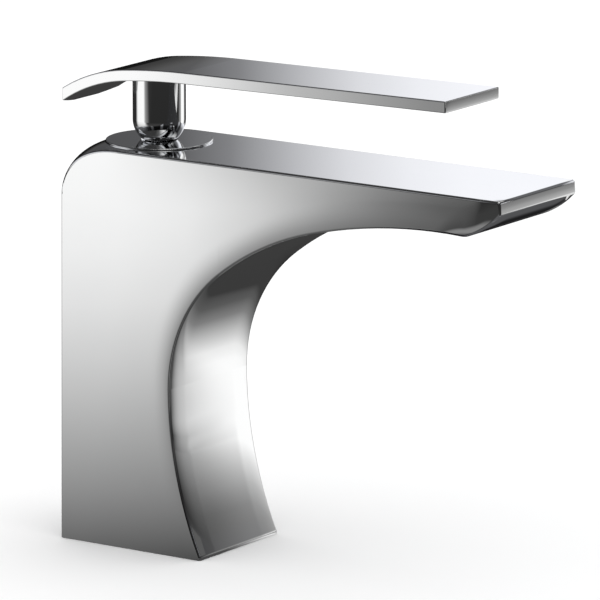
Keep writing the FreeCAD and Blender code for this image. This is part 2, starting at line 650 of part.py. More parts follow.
def make_cover_ring():
    body = new_body("cover_ring")
    seat_radius = dim["post_radius"] + dim["foot_gap"]
    neck = dim["ring_neck"]
    turned(body, [(neck, recess_z), (dim["ring_radius"], recess_z),
                  (dim["ring_radius"], ring_top_z), (neck, ring_top_z)])
    # hollow seat for the ball foot, on the same centre as the pivot
    sketch = new_sketch(body, "XZ_Plane")
    ball = arc_between(sketch, (0.0, pivot_z.value), seat_radius.value, -90, 90)
    axis = sketch.addGeometry(
        Part.LineSegment(point(0, pivot_z + seat_radius), point(0, pivot_z - seat_radius)), False)
    sketch.addConstraint(Sketcher.Constraint("Coincident", ball, 2, axis, 1))
    sketch.addConstraint(Sketcher.Constraint("Coincident", axis, 2, ball, 1))
    place(sketch, ball, 3, 0.0, pivot_z)
    sketch.addConstraint(Sketcher.Constraint("PointOnObject", axis, 1, -2))
    sketch.addConstraint(Sketcher.Constraint("PointOnObject", axis, 2, -2))
    hold(sketch, "Radius", ball, size=seat_radius)
    doc.recompute()
    seat = body.newObject("PartDesign::Groove", "Seat")
    seat.Profile = sketch
    seat.ReferenceAxis = (sketch, ["V_Axis"])
    seat.Angle = 360.0
    # relief under the seat, for the tilting arm
    relief = dim["ring_relief"]
    relief_top = recess_z + dim["ring_relief_high"]
    turned(body, [(0.0, recess_z - CLEAR), (relief, recess_z - CLEAR),
                  (relief, recess_z + dim["ring_relief_low"]), (neck, relief_top),
                  (0.0, relief_top)], cut=True)
    fillet(body, lambda edge: near(edge.BoundBox.XMax, dim["ring_radius"])
           and near(edge.BoundBox.ZMin, ring_top_z), dim["ring_edge"])
    return body


def make_cartridge_nut():
    body = new_body("cartridge_nut")
    outer = dim["thread_radius"] - dim["fit_gap"]
    inner = barrel_radius + dim["nut_gap"]
    turned(body, [(inner, lid_top), (outer, lid_top), (outer, sleeve_top), (inner, sleeve_top)])
    # hexagonal drive for the fitting key
    hexagon = new_sketch(body, "XY_Plane", sleeve_top)
    size = inner + dim["nut_key_step"]
    polygon(hexagon, [(size * math.cos(math.radians(60 * i)), size * math.sin(math.radians(60 * i)))
                      for i in range(6)])
    pocket(body, hexagon, dim["nut_key_depth"])
    return body


def seal_groove(body, radius, depth, section):
    """A groove for a round-section seal, turned into the outside at the lid's middle."""
    half = section + dim["seat_gap"]
    turned(body, [(radius - depth, lid_middle - half), (radius + CLEAR, lid_middle - half),
                  (radius + CLEAR, lid_middle + half), (radius - depth, lid_middle + half)], cut=True)


def make_cartridge_housing():
    body = new_body("cartridge_housing")
    bore = barrel_radius + dim["fit_gap"]
    turned(body, [(shell_inner, rim_top), (shell_radius, rim_top), (shell_radius, lid_top),
                  (bore, lid_top), (bore, lid_bottom), (shell_inner, lid_bottom)])
    # groove of the outer seal
    seal_groove(body, shell_radius, dim["housing_groove"], dim["housing_seal"])
    # outlet windows, right through the wall along X and along Y
    for role in ("YZ_Plane", "XZ_Plane"):
        window = new_sketch(body, role)
        rectangle(window, -dim["window_half"], moving_bottom, dim["window_half"], driver_top)
        pocket(body, window, REACH, both_ways=True)
    return body


def make_cartridge_base():
    body = new_body("cartridge_base")
    spigot = shell_inner - dim["fit_gap"]
    turned(body, [(0.0, base_bottom), (shell_radius, base_bottom), (shell_radius, rim_top),
                  (spigot, rim_top), (spigot, base_top), (0.0, base_top)])
    pegs = new_sketch(body, "XY_Plane", base_bottom)
    for side in (dim["peg_y"], -dim["peg_y"]):
        circle(pegs, dim["peg_x"], side, dim["peg_radius"])
    pad(body, pegs, dim["peg_length"], down=True)
    seal_seat = dim["seal_outer"] + dim["seat_gap"]
    ports = new_sketch(body, "XY_Plane", base_top)
    upper = new_sketch(body, "XY_Plane", base_top)
    lower = new_sketch(body, "XY_Plane", base_bottom)
    for side in (dim["port_y"], -dim["port_y"]):
        circle(ports, dim["port_x"], side, dim["port_radius"])
        circle(upper, dim["port_x"], side, seal_seat)
        circle(lower, dim["port_x"], side, seal_seat)
    pocket(body, ports, dim["base_thickness"])
    pocket(body, upper, dim["seal_height"])
    pocket(body, lower, dim["seal_height"], up=True)
    return body


def make_seal_pair(label, bottom):
    """Two equal rings, one around each inlet port."""
    top = bottom + dim["seal_height"] - dim["fit_gap"]
    rings = [ring_piece(label + "_" + side, dim["seal_inner"], dim["seal_outer"], bottom, top,
                        dim["port_x"], y)
             for side, y in (("left", dim["port_y"]), ("right", -dim["port_y"]))]
    pair = doc.addObject("Part::Compound", label)
    pair.Label = label
    pair.Links = rings
    return pair


def make_fixed_disc():
    body = new_body("fixed_disc")
    radius = shell_inner - dim["seat_gap"] * 2
    turned(body, [(0.0, fixed_bottom), (radius, fixed_bottom), (radius, fixed_top), (0.0, fixed_top)])
    ports = new_sketch(body, "XY_Plane", fixed_top)
    for side in (dim["port_y"], -dim["port_y"]):
        circle(ports, dim["port_x"], side, dim["port_radius"])
    pocket(body, ports, dim["fixed_thickness"])
    return body


def make_moving_disc():
    body = new_body("moving_disc")
    radius = dim["moving_radius"]
    turned(body, [(0.0, moving_bottom), (radius, moving_bottom), (radius, moving_top),
                  (0.0, moving_top)])
    sockets = new_sketch(body, "XY_Plane", moving_top)
    for side in (dim["drive_peg_y"], -dim["drive_peg_y"]):
        circle(sockets, 0.0, side, dim["drive_peg_radius"] + dim["seat_gap"])
    pocket(body, sockets, dim["drive_peg_length"] + dim["seat_gap"] * 2)
    relief = new_sketch(body, "XY_Plane", moving_bottom)
    circle(relief, 0.0, 0.0, dim["relief_radius"])
    pocket(body, relief, dim["relief_depth"], up=True)
    body.setExpression("Placement.Base.x", (-slide_half).text)
    return body


def make_disc_driver():
    body = new_body("disc_driver")
    radius = dim["driver_radius"]
    turned(body, [(0.0, moving_top), (radius, moving_top), (radius, driver_top), (0.0, driver_top)])
    stalk = new_sketch(body, "XY_Plane", driver_top)
    rectangle(stalk, -stalk_half, stalk_thick / -2, stalk_half, stalk_thick / 2)
    arm_z = pivot_z - dim["arm_length"]
    stalk_top = arm_z + dim["arm_end_radius"] + dim["stalk_rise"]
    pad(body, stalk, stalk_top - driver_top)
    slot = new_sketch(body, "XZ_Plane")
    gap = dim["arm_end_radius"] + dim["arm_gap"]
    rectangle(slot, -gap, arm_z - dim["slot_drop"], gap, stalk_top + CLEAR)
    pocket(body, slot, REACH, both_ways=True)
    pegs = new_sketch(body, "XY_Plane", moving_top)
    for side in (dim["drive_peg_y"], -dim["drive_peg_y"]):
        circle(pegs, 0.0, side, dim["drive_peg_radius"])
    pad(body, pegs, dim["drive_peg_length"], down=True)
    body.setExpression("Placement.Base.x", (-slide_half).text)
    return body


def make_turning_sleeve():
    body = new_body("turning_sleeve")
    turned(body, [(0.0, flange_bottom), (flange_radius, flange_bottom),
                  (flange_radius, flange_top), (barrel_radius, flange_top),
                  (barrel_radius, sleeve_top), (0.0, sleeve_top)])
    seal_groove(body, barrel_radius, dim["sleeve_groove"], dim["sleeve_seal"])
    # fork: two ears up to the pivot, round about the pin
    head = dim["pin_radius"] + dim["ear_wall"]
    ears = new_sketch(body, "XZ_Plane")
    rectangle(ears, -dim["ear_half"], sleeve_top - CLEAR, dim["ear_half"], pivot_z)
    pad(body, ears, fork_width, both_ways=True)
    heads = new_sketch(body, "XZ_Plane")
    circle(heads, 0.0, pivot_z, head)
    pad(body, heads, fork_width, both_ways=True)
    fork = new_sketch(body, "XZ_Plane")
    rectangle(fork, -dim["fork_half"], sleeve_top - dim["fork_sink"], dim["fork_half"],
              pivot_z + head + CLEAR)
    pocket(body, fork, fork_gap, both_ways=True)
    # slot for the driver's stalk, through the barrel
    slot = new_sketch(body, "XY_Plane", sleeve_top)
    slot_half = stalk_half + slide_half + dim["play"]
    slot_thick = stalk_thick / 2 + dim["play"]
    rectangle(slot, -slot_half, -slot_thick, slot_half, slot_thick)
    pocket(body, slot, sleeve_top - flange_bottom + CLEAR)
    pin_hole = new_sketch(body, "XZ_Plane")
    circle(pin_hole, 0.0, pivot_z, dim["pin_radius"])
    pocket(body, pin_hole, REACH, both_ways=True)
    return body


def make_pivot_pin():
    pin = doc.addObject("Part::Cylinder", "pivot_pin")
    pin.Label = "pivot_pin"
    pin.setExpression("Radius", dim["pin_radius"].text)
    pin.setExpression("Height", fork_width.text)
    pin.Placement = FreeCAD.Placement(
        FreeCAD.Vector(0, 0, 0), FreeCAD.Rotation(FreeCAD.Vector(1, 0, 0), 90))
    pin.setExpression("Placement.Base.y", (fork_width / 2).text)
    pin.setExpression("Placement.Base.z", pivot_z.text)
    return pin


def make_spindle():
    body = new_body("spindle")
    half = dim["shank_size"] / 2
    shank_bottom = pivot_z + dim["shank_bottom"]
    shank = new_sketch(body, "XZ_Plane")
    rectangle(shank, -half, shank_bottom, half, pivot_z + dim["shank_top"])
    pad(body, shank, dim["shank_size"], both_ways=True)
    neck = new_sketch(body, "XZ_Plane")
    rectangle(neck, -dim["neck_half"], pivot_z, dim["neck_half"], shank_bottom + CLEAR)
    pad(body, neck, dim["blade_thickness"], both_ways=True)
    hub = new_sketch(body, "XZ_Plane")
    circle(hub, 0.0, pivot_z, dim["neck_half"])
    pad(body, hub, dim["blade_thickness"], both_ways=True)
    # arm, leaning to the rear while the lever is down
    end_x = dim["arm_length"] * -math.sin(arm_swing)
    end_z = pivot_z - dim["arm_length"] * math.cos(arm_swing)
    side_x = dim["arm_half"] * math.cos(arm_swing)
    side_z = dim["arm_half"] * math.sin(arm_swing)
    arm = new_sketch(body, "XZ_Plane")
    polygon(arm, [(end_x - side_x, end_z + side_z), (end_x + side_x, end_z - side_z),
                  (side_x, pivot_z - side_z), (-side_x, pivot_z + side_z)])
    pad(body, arm, dim["blade_thickness"], both_ways=True)
    knob = new_sketch(body, "XZ_Plane")
    circle(knob, end_x, end_z, dim["arm_end_radius"])
    pad(body, knob, dim["blade_thickness"], both_ways=True)
    pin_hole = new_sketch(body, "XZ_Plane")
    circle(pin_hole, 0.0, pivot_z, dim["pin_radius"] + dim["fit_gap"])
    pocket(body, pin_hole, REACH, both_ways=True)
    return body


# Lever: plate, post and what clamps them to the spindle.

def lever_spine(body):
    """The plate's top line: a flat, a gentle bend and the tail's arc."""
    sketch = new_sketch(body, "XZ_Plane")
    tip = (dim["lever_tip_x"].value, dim["lever_tip_z"].value)
    flat = (dim["lever_flat_x"].value, dim["lever_flat_z"].value)
    bend = dim["lever_bend_radius"].value
    tail = dim["tail_radius"].value
    slope = math.atan2(tip[1] - flat[1], tip[0] - flat[0])
    bend_centre = (flat[0] + bend * math.sin(slope), flat[1] - bend * math.cos(slope))
    bend_turn = math.degrees(math.asin((bend_centre[0] - dim["lever_bend_x"].value) / bend))
    step = math.radians(bend_turn)
    tail_centre = (bend_centre[0] - (bend - tail) * math.sin(step),
                   bend_centre[1] + (bend - tail) * math.cos(step))
    tail_end = dim["tail_x"] - dim["tail_bulge"] - CLEAR * 1.5
    tail_turn = math.degrees(math.asin((tail_centre[0] - tail_end.value) / tail))
    line = sketch.addGeometry(Part.LineSegment(point(*tip), point(*flat)), False)
    bend_arc = arc_between(sketch, bend_centre, bend, 90 + math.degrees(slope), 90 + bend_turn)
    tail_arc = arc_between(sketch, tail_centre, tail, 90 + bend_turn, 90 + tail_turn)
    sketch.addConstraint(Sketcher.Constraint("Tangent", line, 2, bend_arc, 1))
    sketch.addConstraint(Sketcher.Constraint("Tangent", bend_arc, 2, tail_arc, 1))
    place(sketch, line, 1, dim["lever_tip_x"], dim["lever_tip_z"])
    place(sketch, line, 2, dim["lever_flat_x"], dim["lever_flat_z"])
    hold(sketch, "Radius", bend_arc, size=dim["lever_bend_radius"])
    hold(sketch, "Radius", tail_arc, size=dim["tail_radius"])
    hold(sketch, "DistanceX", -1, 1, bend_arc, 2, size=dim["lever_bend_x"])
    hold(sketch, "DistanceX", -1, 1, tail_arc, 2, size=tail_end)
    return sketch


def make_lever_plate():
    body = new_body("lever_plate")
    spine = lever_spine(body)
    section = new_sketch(body, "YZ_Plane", dim["lever_tip_x"])
    rectangle(section, -half_lever, dim["lever_tip_z"] - dim["lever_thickness"],
              half_lever, dim["lever_tip_z"])
    doc.recompute()
    plate = body.newObject("PartDesign::AdditivePipe", "Plate")
    plate.Profile = section
    plate.Spine = (spine, ["Edge1", "Edge2", "Edge3"])
    doc.recompute()
    pocket(body, bowed_end(body, dim["tail_x"], dim["tail_bulge"], half_lever),
           dim["lever_tip_z"] + REACH, up=True)
    fillet(body, lambda edge: True, dim["lever_edge"])
    boss = new_sketch(body, "XY_Plane", boss_bottom)
    circle(boss, 0.0, 0.0, dim["boss_radius"])
    pad(body, boss, post_top - boss_bottom)
    return body


def make_lever_post(plate):
    """A turned post with a ball foot; its top is shaped to the plate's underside."""
    blank = new_body("post_blank")
    radius = dim["post_radius"]
    foot_z = pivot_z - dim["foot_depth"]
    foot_radius = math.sqrt(radius.value ** 2 - dim["foot_depth"].value ** 2)
    sketch = new_sketch(blank, "XZ_Plane")
    low_angle = -math.degrees(math.asin(dim["foot_depth"].value / radius.value))
    ball = arc_between(sketch, (0.0, pivot_z.value), radius.value, low_angle, 0)
    corners = [(radius, pivot_z), (radius, post_top), (0.0, post_top), (0.0, foot_z),
               (foot_radius, foot_z)]
    first = sketch.GeometryCount
    for one, other in zip(corners, corners[1:]):
        sketch.addGeometry(Part.LineSegment(point(*one), point(*other)), False)
    last = sketch.GeometryCount - 1
    for edge in range(first, last):
        sketch.addConstraint(Sketcher.Constraint("Coincident", edge, 2, edge + 1, 1))
    sketch.addConstraint(Sketcher.Constraint("Coincident", ball, 2, first, 1))
    sketch.addConstraint(Sketcher.Constraint("Coincident", ball, 1, last, 2))
    for edge, corner in zip(range(first, last + 1), corners):
        place(sketch, edge, 1, *corner)
    place(sketch, ball, 3, 0.0, pivot_z)
    sketch.addConstraint(Sketcher.Constraint("Horizontal", last))
    post = blank.newObject("PartDesign::Revolution", "Post")
    post.Profile = sketch
    post.ReferenceAxis = (sketch, ["V_Axis"])
    post.Angle = 360.0
    doc.recompute()
    # hollow foot, then the square bore of the shank
    hollow = new_sketch(blank, "XZ_Plane")
    cavity = dim["foot_cavity"]
    bowl = arc_between(hollow, (0.0, pivot_z.value), cavity.value, -90, 90)
    axis = hollow.addGeometry(
        Part.LineSegment(point(0, pivot_z + cavity), point(0, pivot_z - cavity)), False)
    hollow.addConstraint(Sketcher.Constraint("Coincident", bowl, 2, axis, 1))
    hollow.addConstraint(Sketcher.Constraint("Coincident", axis, 2, bowl, 1))
    place(hollow, bowl, 3, 0.0, pivot_z)
    hollow.addConstraint(Sketcher.Constraint("PointOnObject", axis, 1, -2))
    hollow.addConstraint(Sketcher.Constraint("PointOnObject", axis, 2, -2))
    hold(hollow, "Radius", bowl, size=cavity)
    doc.recompute()
    groove = blank.newObject("PartDesign::Groove", "Hollow")
    groove.Profile = hollow
    groove.ReferenceAxis = (hollow, ["V_Axis"])
    groove.Angle = 360.0
    opening = new_sketch(blank, "XY_Plane", pivot_z)
    circle(opening, 0.0, 0.0, dim["foot_opening"])
    pocket(blank, opening, dim["foot_depth"] + CLEAR)
    bore = new_sketch(blank, "XY_Plane", pivot_z + dim["shank_top"] + dim["seat_gap"] * 2)
    half = dim["shank_size"] / 2 + dim["fit_gap"]
    rectangle(bore, -half, -half, half, half)
    pocket(blank, bore, dim["shank_top"])
    # threaded hole and plug seat for the grub screw, on the rear side
    thread = new_sketch(blank, "YZ_Plane")
    circle(thread, 0.0, screw_z, dim["screw_radius"] + dim["fit_gap"])
    pocket(blank, thread, radius + CLEAR)
    seat = new_sketch(blank, "YZ_Plane", -plug_seat)
    circle(seat, 0.0, screw_z, dim["plug_radius"] + dim["fit_gap"])
    pocket(blank, seat, REACH)
    post = doc.addObject("Part::Cut", "lever_post")
    post.Label = "lever_post"
    post.Base = blank
    post.Tool = plate
    return post


def make_set_screw():
    """A socket-head grub screw that presses on the spindle's rear flat."""
    body = new_body("set_screw")
    near_end = dim["shank_size"] / 2
    length = plug_seat - near_end - dim["seat_gap"]
    shank = new_sketch(body, "YZ_Plane")
    circle(shank, 0.0, 0.0, dim["screw_radius"])
    pad(body, shank, length, down=True)
    key = new_sketch(body, "YZ_Plane", -length)
    size = dim["screw_key"]
    polygon(key, [(size * math.cos(math.radians(60 * i)), size * math.sin(math.radians(60 * i)))
                  for i in range(6)])
    pocket(body, key, dim["screw_key_depth"], up=True)
    body.setExpression("Placement.Base.x", (-near_end).text)
    body.setExpression("Placement.Base.z", screw_z.text)
    return body


def make_screw_plug():
    """A push-in button with a slightly domed head."""
    body = new_body("screw_plug")
    head = new_sketch(body, "YZ_Plane")
    length = dim["plug_depth"] + dim["plug_proud"]
    circle(head, 0.0, 0.0, dim["plug_radius"])
    pad(body, head, length, down=True)
    fillet(body, lambda edge: near(edge.BoundBox.XMax, -length), dim["plug_edge"])
    body.setExpression("Placement.Base.x", (-plug_seat - dim["rest_gap"]).text)
    body.setExpression("Placement.Base.z", screw_z.text)
    return body


# Aerator, on its own axis under the spout.

def make_aerator_housing():
    body = new_body("aerator_housing")
    turned(body, [(aerator_bore, aerator_bottom), (dim["aerator_flange"], aerator_bottom),
                  (dim["aerator_flange"], dim["aerator_seat_z"]),
                  (aerator_barrel, dim["aerator_seat_z"]), (aerator_barrel, barrel_top),
                  (aerator_bore, barrel_top)])
    # two notches for the fitting key
    notch = new_sketch(body, "XZ_Plane")
    rectangle(notch, -dim["notch_half"], aerator_bottom - CLEAR, dim["notch_half"],
              aerator_bottom + dim["notch_depth"])
    pocket(body, notch, REACH, both_ways=True)
    body.setExpression("Placement.Base.x", dim["aerator_x"].text)
    return body


def make_aerator_insert():
    body = new_body("aerator_insert")
    radius = aerator_bore - dim["fit_gap"]
    bottom = aerator_bottom + dim["insert_rise"]
    top = screen_bottom - dim["fit_gap"]
    turned(body, [(0.0, bottom), (radius, bottom), (radius, top), (0.0, top)])
    # flow holes, in rings around a middle one
    holes = new_sketch(body, "XY_Plane", top)
    circle(holes, 0.0, 0.0, dim["flow_hole"])
    for count, ring in ((6, dim["flow_ring_small"]), (12, dim["flow_ring_large"])):
        for i in range(count):
            turn = 2 * math.pi * i / count
            circle(holes, ring * math.cos(turn), ring * math.sin(turn), dim["flow_hole"])
    pocket(body, holes, top - bottom)
    body.setExpression("Placement.Base.x", dim["aerator_x"].text)
    return body


def make_aerator_screen():
    body = new_body("aerator_screen")
    radius = aerator_bore - dim["fit_gap"]
    turned(body, [(0.0, screen_bottom), (radius, screen_bottom), (radius, screen_top),
                  (0.0, screen_top)])
    holes = new_sketch(body, "XY_Plane", screen_top)
    half = dim["screen_hole_half"]
    for column in range(-3, 4):
        for line in range(-3, 4):
            if math.hypot(column, line) < 3.3:
                x = dim["screen_pitch"] * column
                y = dim["screen_pitch"] * line
                rectangle(holes, x - half, y - half, x + half, y + half)
    pocket(body, holes, dim["screen_thickness"])
    body.setExpression("Placement.Base.x", dim["aerator_x"].text)
    return body


plate = make_lever_plate()
gasket_half = dim["gasket_width"] / 2
washer_outer = aerator_barrel - dim["seat_gap"]
parts = [
    make_body(),
    make_cover_ring(),
    plate,
    make_lever_post(plate),
    make_spindle(),
    make_set_screw(),
    make_screw_plug(),
    make_pivot_pin(),
    make_turning_sleeve(),
    o_ring("sleeve_o_ring", barrel_radius - dim["sleeve_seal"] - dim["rest_gap"],
           dim["sleeve_seal"], lid_middle),
    ring_piece("glide_ring", barrel_radius + dim["glide_gap"], flange_radius,
               flange_top + dim["rest_gap"], glide_top),
    make_disc_driver(),
    make_moving_disc(),
    make_fixed_disc(),
    make_seal_pair("disc_seals", base_top - dim["seal_height"]),
    make_cartridge_base(),
    make_seal_pair("inlet_seals", base_bottom),
    make_cartridge_housing(),
    o_ring("housing_o_ring", shell_radius - dim["housing_seal"] - dim["rest_gap"],
           dim["housing_seal"], lid_middle),
    make_cartridge_nut(),
    make_aerator_housing(),
    make_aerator_insert(),
    make_aerator_screen(),
    ring_piece("aerator_washer", washer_outer - dim["washer_wall"], washer_outer,
               barrel_top + dim["seat_gap"], dim["aerator_top_z"] - dim["fit_gap"],
               dim["aerator_x"]),
    ring_piece("base_gasket", dim["gasket_radius"] - gasket_half,
               dim["gasket_radius"] + gasket_half, dim["rest_gap"],
               dim["gasket_depth"] - dim["fit_gap"]),
]
doc.recompute()

for made in doc.Objects:
    if "Invalid" in made.State or "Error" in made.State:
        raise RuntimeError("%s failed" % made.Label)
os.makedirs("parts", exist_ok=True)
for part in parts:
    shape = part.Shape
    if shape.isNull() or not shape.isValid() or not shape.Solids:
        raise RuntimeError("%s has no valid solid" % part.Label)
    shape.exportStep("parts/%s.step" % part.Label)
    print("%-18s %2d solid %10.1f mm3" % (part.Label, len(shape.Solids), shape.Volume))
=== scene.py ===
# %% [markdown]
# A single-lever basin faucet, dressed for its portrait. The solids of the faucet are already packed,
# in metres and standing on the deck plane, so this lesson only loads them, gives every piece its
# finish, and sets up the studio that polished chrome needs in order to look like chrome.

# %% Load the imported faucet
import math

import bpy
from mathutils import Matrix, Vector

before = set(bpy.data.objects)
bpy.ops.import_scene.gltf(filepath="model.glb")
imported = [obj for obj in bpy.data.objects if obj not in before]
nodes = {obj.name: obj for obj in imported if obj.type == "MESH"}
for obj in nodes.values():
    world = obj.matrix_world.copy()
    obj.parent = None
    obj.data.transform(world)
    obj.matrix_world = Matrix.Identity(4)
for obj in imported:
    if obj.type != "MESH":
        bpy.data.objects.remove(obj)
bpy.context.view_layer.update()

# %% [markdown]
# Finishes are sums of patterns. Wiring each Math node by hand buries the idea, so one small class
# wraps a socket and lets Python's own operators add the nodes.

# %% Shader sums as Python sums
class Wire:
    """One output of a finish's node, with the sums that a finish needs."""

    def __init__(self, finish, socket):
        self.finish = finish
        self.socket = socket

    def sum_of(self, operation, first, second=0.0):
        return self.finish.add("ShaderNodeMath", {"operation": operation}, {0: first, 1: second})

    def __add__(self, other):
        return self.sum_of("ADD", self, other)

    def __radd__(self, other):
        return self.sum_of("ADD", other, self)

    def __sub__(self, other):
        return self.sum_of("SUBTRACT", self, other)

    def __rsub__(self, other):
        return self.sum_of("SUBTRACT", other, self)

    def __mul__(self, other):
        return self.sum_of("MULTIPLY", self, other)

    def __rmul__(self, other):
        return self.sum_of("MULTIPLY", other, self)

    def __truediv__(self, other):
        return self.sum_of("DIVIDE", self, other)

    def __abs__(self):
        return self.sum_of("ABSOLUTE", self)

    def least(self, other):
        return self.sum_of("MINIMUM", self, other)

    def most(self, other):
        return self.sum_of("MAXIMUM", self, other)

    def below(self, other):
        return self.sum_of("LESS_THAN", self, other)

    def root(self):
        return self.sum_of("SQRT", self)

    def kept_in(self, low, high):
        return self.most(low).least(high)


print("shader sums are ready")

# %% [markdown]
# Everything that isn't a sum comes from a single method: a node's type, its settings, and what its
# sockets hold or are linked to. A Mix node has sockets for numbers, vectors and colours, and those
# for colours are found by their place in the row.

# %% A finish under construction
MIX_SHARE = 0
MIX_FIRST = 6
MIX_SECOND = 7
MIX_RESULT = 2
FRONT_STOPS = [(0.93, 0.0), (0.97, 1.0)]


class Finish:
    """A material under construction."""

    def __init__(self, name):
        self.material = bpy.data.materials.new(name)
        self.material.use_nodes = True
        self.tree = self.material.node_tree
        self.tree.nodes.clear()

    def add(self, kind, settings=None, sockets=None, output=0):
        node = self.tree.nodes.new(kind)
        for name, value in (settings or {}).items():
            if name == "stops":
                self.set_stops(node.color_ramp, value)
            else:
                setattr(node, name, value)
        for key, value in (sockets or {}).items():
            if isinstance(value, Wire):
                self.tree.links.new(value.socket, node.inputs[key])
            else:
                node.inputs[key].default_value = value
        return Wire(self, node.outputs[output] if len(node.outputs) else None)

    def set_stops(self, ramp, stops):
        ramp.interpolation = "LINEAR"
        while len(ramp.elements) < len(stops):
            ramp.elements.new(1.0)
        for element, (place, grey) in zip(ramp.elements, stops):
            element.position = place
            element.color = (grey, grey, grey, 1.0)

    def tone(self, wire, stops):
        """A ramp of greys, its stops given in the wire's own units."""
        low = stops[0][0]
        span = stops[-1][0] - low
        places = [((place - low) / span, grey) for place, grey in stops]
        return self.add("ShaderNodeValToRGB", {"stops": places}, {"Fac": (wire - low) / span})

    def where(self):
        """The place on the surface, in metres in the faucet's frame."""
        return self.add("ShaderNodeTexCoord", output="Object")

    def axes(self, vector):
        """X, Y and Z of a vector."""
        split = self.add("ShaderNodeSeparateXYZ", None, {0: vector})
        return [Wire(self, axis) for axis in split.socket.node.outputs]

    def facing_front(self):
        """1 where the surface faces the spout's end, from the piece's own normals."""
        normal = self.add("ShaderNodeTexCoord", output="Normal")
        return self.tone(self.axes(normal)[0], FRONT_STOPS)

    def colour(self, share, first, second):
        return self.add("ShaderNodeMix", {"data_type": "RGBA"},
                        {MIX_SHARE: share, MIX_FIRST: first, MIX_SECOND: second},
                        output=MIX_RESULT)

    def close(self, shader):
        self.add("ShaderNodeOutputMaterial", None, {"Surface": shader})
        return self.material


print("finishes can be built")

# %% [markdown]
# The photograph was taken from far away with a long lens, from a little above and to the right.
# The lens and the distance were worked out from the corners of the faucet's base, its spout and its
# lever, so the camera only has to be put at that angle and aimed at the same point.

# %% Camera at the photograph's place
VIEW_AZIMUTH = math.radians(34.462)
VIEW_HEIGHT = math.radians(12.307)
VIEW_DISTANCE = 2.3468
VIEW_TARGET = Vector((0.05626, 0.0, 0.08684))
VIEW_REACH = 50.0
SENSOR = 36.0
FOCAL_SHARE = 11.96
SIN_VIEW = math.sin(VIEW_AZIMUTH)
COS_VIEW = math.cos(VIEW_AZIMUTH)

to_camera = Vector((SIN_VIEW, -COS_VIEW, math.tan(VIEW_HEIGHT)))
to_camera.normalize()
camera_data = bpy.data.cameras.new("portrait_camera")
camera_data.sensor_width = SENSOR
camera_data.lens = SENSOR * FOCAL_SHARE
camera_data.clip_end = VIEW_REACH
camera = bpy.data.objects.new("portrait_camera", camera_data)
camera.location = VIEW_TARGET + to_camera * VIEW_DISTANCE
camera.rotation_euler = (-to_camera).to_track_quat("-Z", "Y").to_euler()
bpy.context.scene.collection.objects.link(camera)
bpy.context.scene.camera = camera
print("camera at", [round(value, 3) for value in camera.location])

# %% [markdown]
# A catalogue picture of chrome stands on a white sweep. The floor that the camera sees is a plain
# pale one, with a faint mottle so that it isn't one dead tone. Chrome mustn't mirror it, because it
# gets its own surroundings in the next steps.

# %% Pale floor and even light
FLOOR_RADIUS = 7.0
FLOOR_Z = -0.0002
ROUND_SIDES = 96
TABLE_CENTRE = (0.05, 0.0)
ROOM_WHITE = (1.0, 1.0, 1.0, 1.0)
ROOM_LIGHT = 1.14


def flat_stage(name, radius, height):
    bpy.ops.object.select_all(action="DESELECT")
    bpy.ops.mesh.primitive_circle_add(vertices=ROUND_SIDES, radius=radius, fill_type="NGON",
                                      location=(*TABLE_CENTRE, height))
    bpy.ops.object.transform_apply(location=True)
    sheet = bpy.context.active_object
    sheet.name = name
    return sheet


def pale_floor_finish():
    finish = Finish("pale_floor")
    mottle = finish.add("ShaderNodeTexNoise", None,
                        {"Vector": finish.where(), "Scale": 3.0, "Detail": 3.0})
    pale = finish.colour(mottle, (0.955, 0.957, 0.96, 1.0), (0.985, 0.985, 0.985, 1.0))
    return finish.close(finish.add("ShaderNodeBsdfDiffuse", None, {"Color": pale}))


floor = flat_stage("pale_floor", FLOOR_RADIUS, FLOOR_Z)
floor.data.materials.append(pale_floor_finish())
floor.visible_glossy = False

world = bpy.data.worlds.new("white_room")
world.use_nodes = True
room = world.node_tree.nodes["Background"]
room.inputs["Color"].default_value = ROOM_WHITE
room.inputs["Strength"].default_value = ROOM_LIGHT
bpy.context.scene.world = world
bpy.context.scene.view_settings.view_transform = "Standard"
print("floor of", FLOOR_RADIUS, "m radius in a white room")

# %% [markdown]
# Polished chrome has no colour of its own: it shows the room. A photographer builds that room from
# white sheets and black cards round the faucet, just outside the picture. Lamps could light such
# sheets, but sheets that glow by themselves are easier to shape. These glow in soft patches, and
# only mirror-like reflections can see them.

# %% Glowing card
GLOW = 1.12
WARM_WHITE = (1.0, 0.996, 0.985, 1.0)
COOL_WHITE = (0.957, 0.963, 1.0, 1.0)
CARD_BLACK = (0.0, 0.0, 0.0, 1.0)


def only_in_reflections(card):
    card.visible_camera = False
    card.visible_diffuse = False
    card.visible_transmission = False
    card.visible_volume_scatter = False
    card.visible_shadow = False


def glowing(finish, tone, white=WARM_WHITE, cover=None):
    colour = finish.colour(tone.kept_in(0.0, 1.0), CARD_BLACK, white)
    glow = finish.add("ShaderNodeEmission", None, {"Color": colour, "Strength": GLOW})
    if cover is not None:
        clear = finish.add("ShaderNodeBsdfTransparent")
        glow = finish.add("ShaderNodeMixShader", None, {0: cover, 1: clear, 2: glow})
    return finish.close(glow)


print("cards glow at", GLOW)

# %% [markdown]
# Directions are counted from the camera. The side face of the faucet mirrors what lies out to the
# camera's left, and the arch under the spout mirrors what lies out to its right, behind the faucet.
# Both run along one line, so a place on the table is given by how far it lies along that line and
# how far beside it. A bearing is used where a card stands anywhere else round the faucet.

# %% Directions on the table
def along_mirror(x, y):
    return x * SIN_VIEW + y * COS_VIEW


def beside_mirror(x, y):
    return x * COS_VIEW + y * -SIN_VIEW


